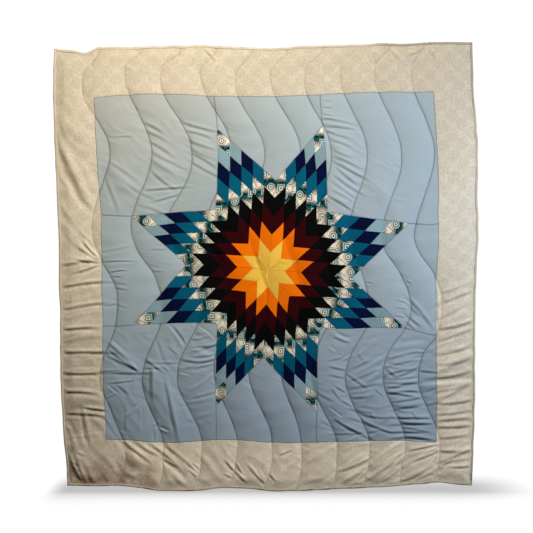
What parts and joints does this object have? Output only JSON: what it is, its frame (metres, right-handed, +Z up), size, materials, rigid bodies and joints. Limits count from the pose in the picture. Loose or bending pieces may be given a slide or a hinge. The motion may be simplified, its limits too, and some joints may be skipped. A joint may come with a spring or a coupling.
{
  "type": "star quilt blanket with hanging tacks",
  "caption": "Pieced star quilt with a wide border and long wavy quilting, hung flat by its top edge from small domed tacks.",
  "frame": {"origin": "inside the top binding, at the middle of the top edge, where the wall fixing holds the quilt", "axes": "+X to the right of a viewer who faces the quilt, +Y back towards the wall, +Z up; the quilted face looks along -Y"},
  "size_m": [1.9124, 0.0313, 2.0182],
  "materials": {
    "star_patchwork": "matt printed and plain dyed cotton",
    "blue_field": "matt blue-grey cotton",
    "cream_border": "matt cream cotton with a faint tone-on-tone print",
    "binding": "matt folded and stitched cotton edge",
    "brass": "bright"
  },
  "bodies": {
    "root": {"star_point_right_upper": "star_patchwork", "star_point_top_right": "star_patchwork", "star_point_top_left": "star_patchwork", "star_point_left_upper": "star_patchwork", "star_point_left_lower": "star_patchwork", "star_point_bottom_left": "star_patchwork", "star_point_bottom_right": "star_patchwork", "star_point_right_lower": "star_patchwork", "corner_square_top_right": "blue_field", "corner_square_top_left": "blue_field", "corner_square_bottom_left": "blue_field", "corner_square_bottom_right": "blue_field", "side_triangle_right": "blue_field", "side_triangle_top": "blue_field", "side_triangle_left": "blue_field", "side_triangle_bottom": "blue_field", "border_right": "cream_border", "border_top": "cream_border", "border_left": "cream_border", "border_bottom": "cream_border", "binding_right": "binding", "binding_top": "binding", "binding_left": "binding", "binding_bottom": "binding", "tack_1": "brass", "tack_2": "brass", "tack_3": "brass", "tack_4": "brass"}
  },
  "joints": []
}
